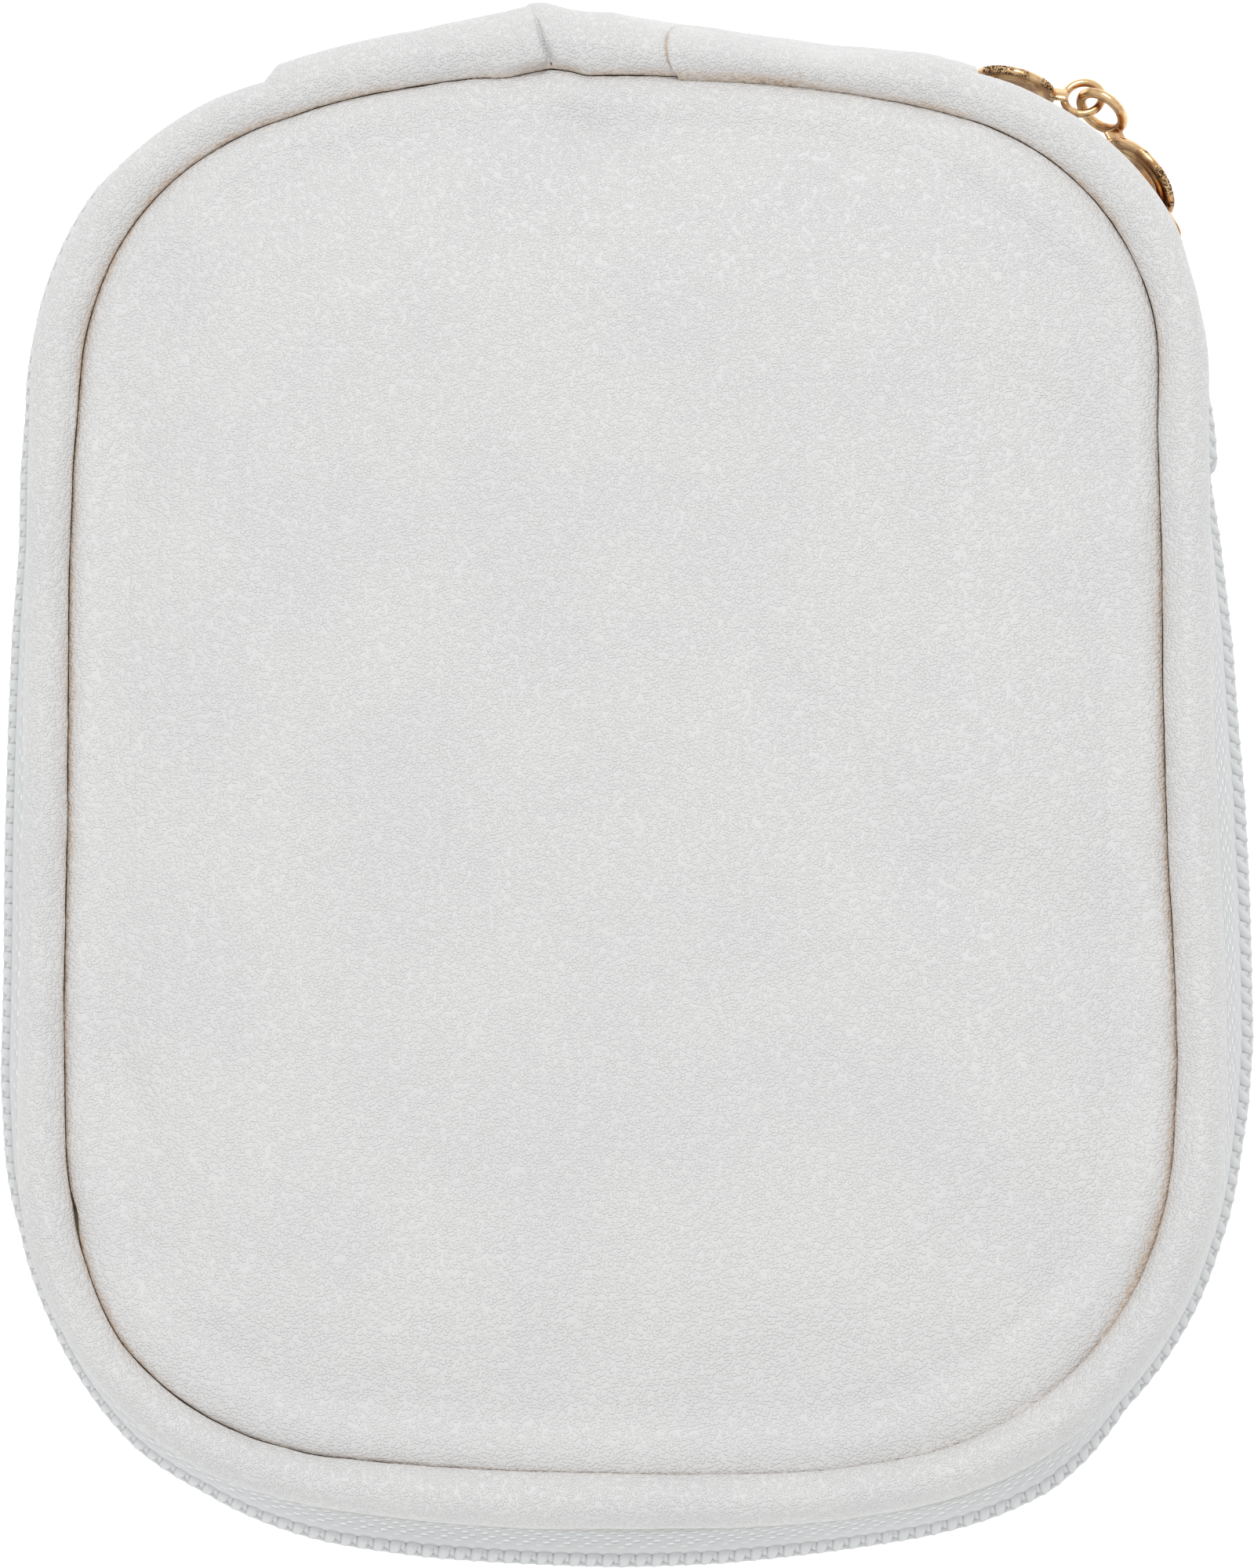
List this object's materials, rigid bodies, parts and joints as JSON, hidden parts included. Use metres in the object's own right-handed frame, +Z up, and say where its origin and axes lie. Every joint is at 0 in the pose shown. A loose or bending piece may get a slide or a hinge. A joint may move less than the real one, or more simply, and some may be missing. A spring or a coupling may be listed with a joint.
{
  "type": "zip-around jewelry case",
  "caption": "Padded zip-around jewelry case with a leather-hinged lid, coil zip, linked coin-shaped pull, ring rolls and divided tray.",
  "frame": {"origin": "centre of the case's outline on its underside", "axes": "+Z up through the lid, +Y to the hinge, +X to the side where the slider rests"},
  "size_m": [0.0984, 0.1223, 0.047],
  "materials": {
    "white_leather": "matte pebble grain",
    "card": "raw card",
    "foam": "matte",
    "zip_tape": "herringbone weave",
    "nylon_coil": "satin",
    "velvet": "short pile",
    "gold_plate": "polished, worn at the edges"
  },
  "bodies": {
    "base": {"base_hinge_leaf": "white_leather", "base_band": "white_leather", "base_frame": "card", "base_board": "card", "base_panel": "white_leather", "base_zip_tape": "zip_tape", "base_zip_coil": "nylon_coil", "base_lining": "velvet", "cross_divider": "velvet", "long_divider": "velvet", "short_divider": "velvet", "ring_roll_1": "velvet", "ring_roll_2": "velvet", "ring_roll_3": "velvet", "ring_roll_4": "velvet", "ring_roll_5": "velvet", "base_top_stop": "gold_plate"},
    "lid": {"lid_panel": "white_leather", "lid_foam": "foam", "lid_board": "card", "lid_frame": "card", "lid_rim_filler": "foam", "lid_band": "white_leather", "lid_zip_tape": "zip_tape", "lid_zip_coil": "nylon_coil", "lid_lining": "velvet", "lid_pocket": "velvet", "lid_pocket_elastic": "velvet", "lid_hinge_leaf": "white_leather", "lid_top_stop": "gold_plate"},
    "slider": {"slider_body": "gold_plate", "slider_bridge": "gold_plate"},
    "link": {"pull_link": "gold_plate"},
    "pendant": {"pull_pendant": "gold_plate"}
  },
  "joints": [
    {"name": "lid_hinge", "type": "hinge", "parent": "base", "child": "lid", "pos_m": [0, 0.06125, 0.032], "axis": [-1, 0, 0], "range_deg": [0, 110]},
    {"name": "slider_travel", "type": "hinge", "parent": "base", "child": "slider", "pos_m": [0.0162, 0.02408, 0.032], "axis": [0, 0, 1], "range_deg": [-33, 0]},
    {"name": "link_flip", "type": "hinge", "parent": "slider", "child": "link", "pos_m": [0.04346, 0.04246, 0.032], "axis": [0, 0, 1], "range_deg": [-150, 0]},
    {"name": "pendant_swing", "type": "hinge", "parent": "link", "child": "pendant", "pos_m": [0.0369, 0.05383, 0.032], "axis": [0, 0, 1], "range_deg": [-75, 0]}
  ]
}
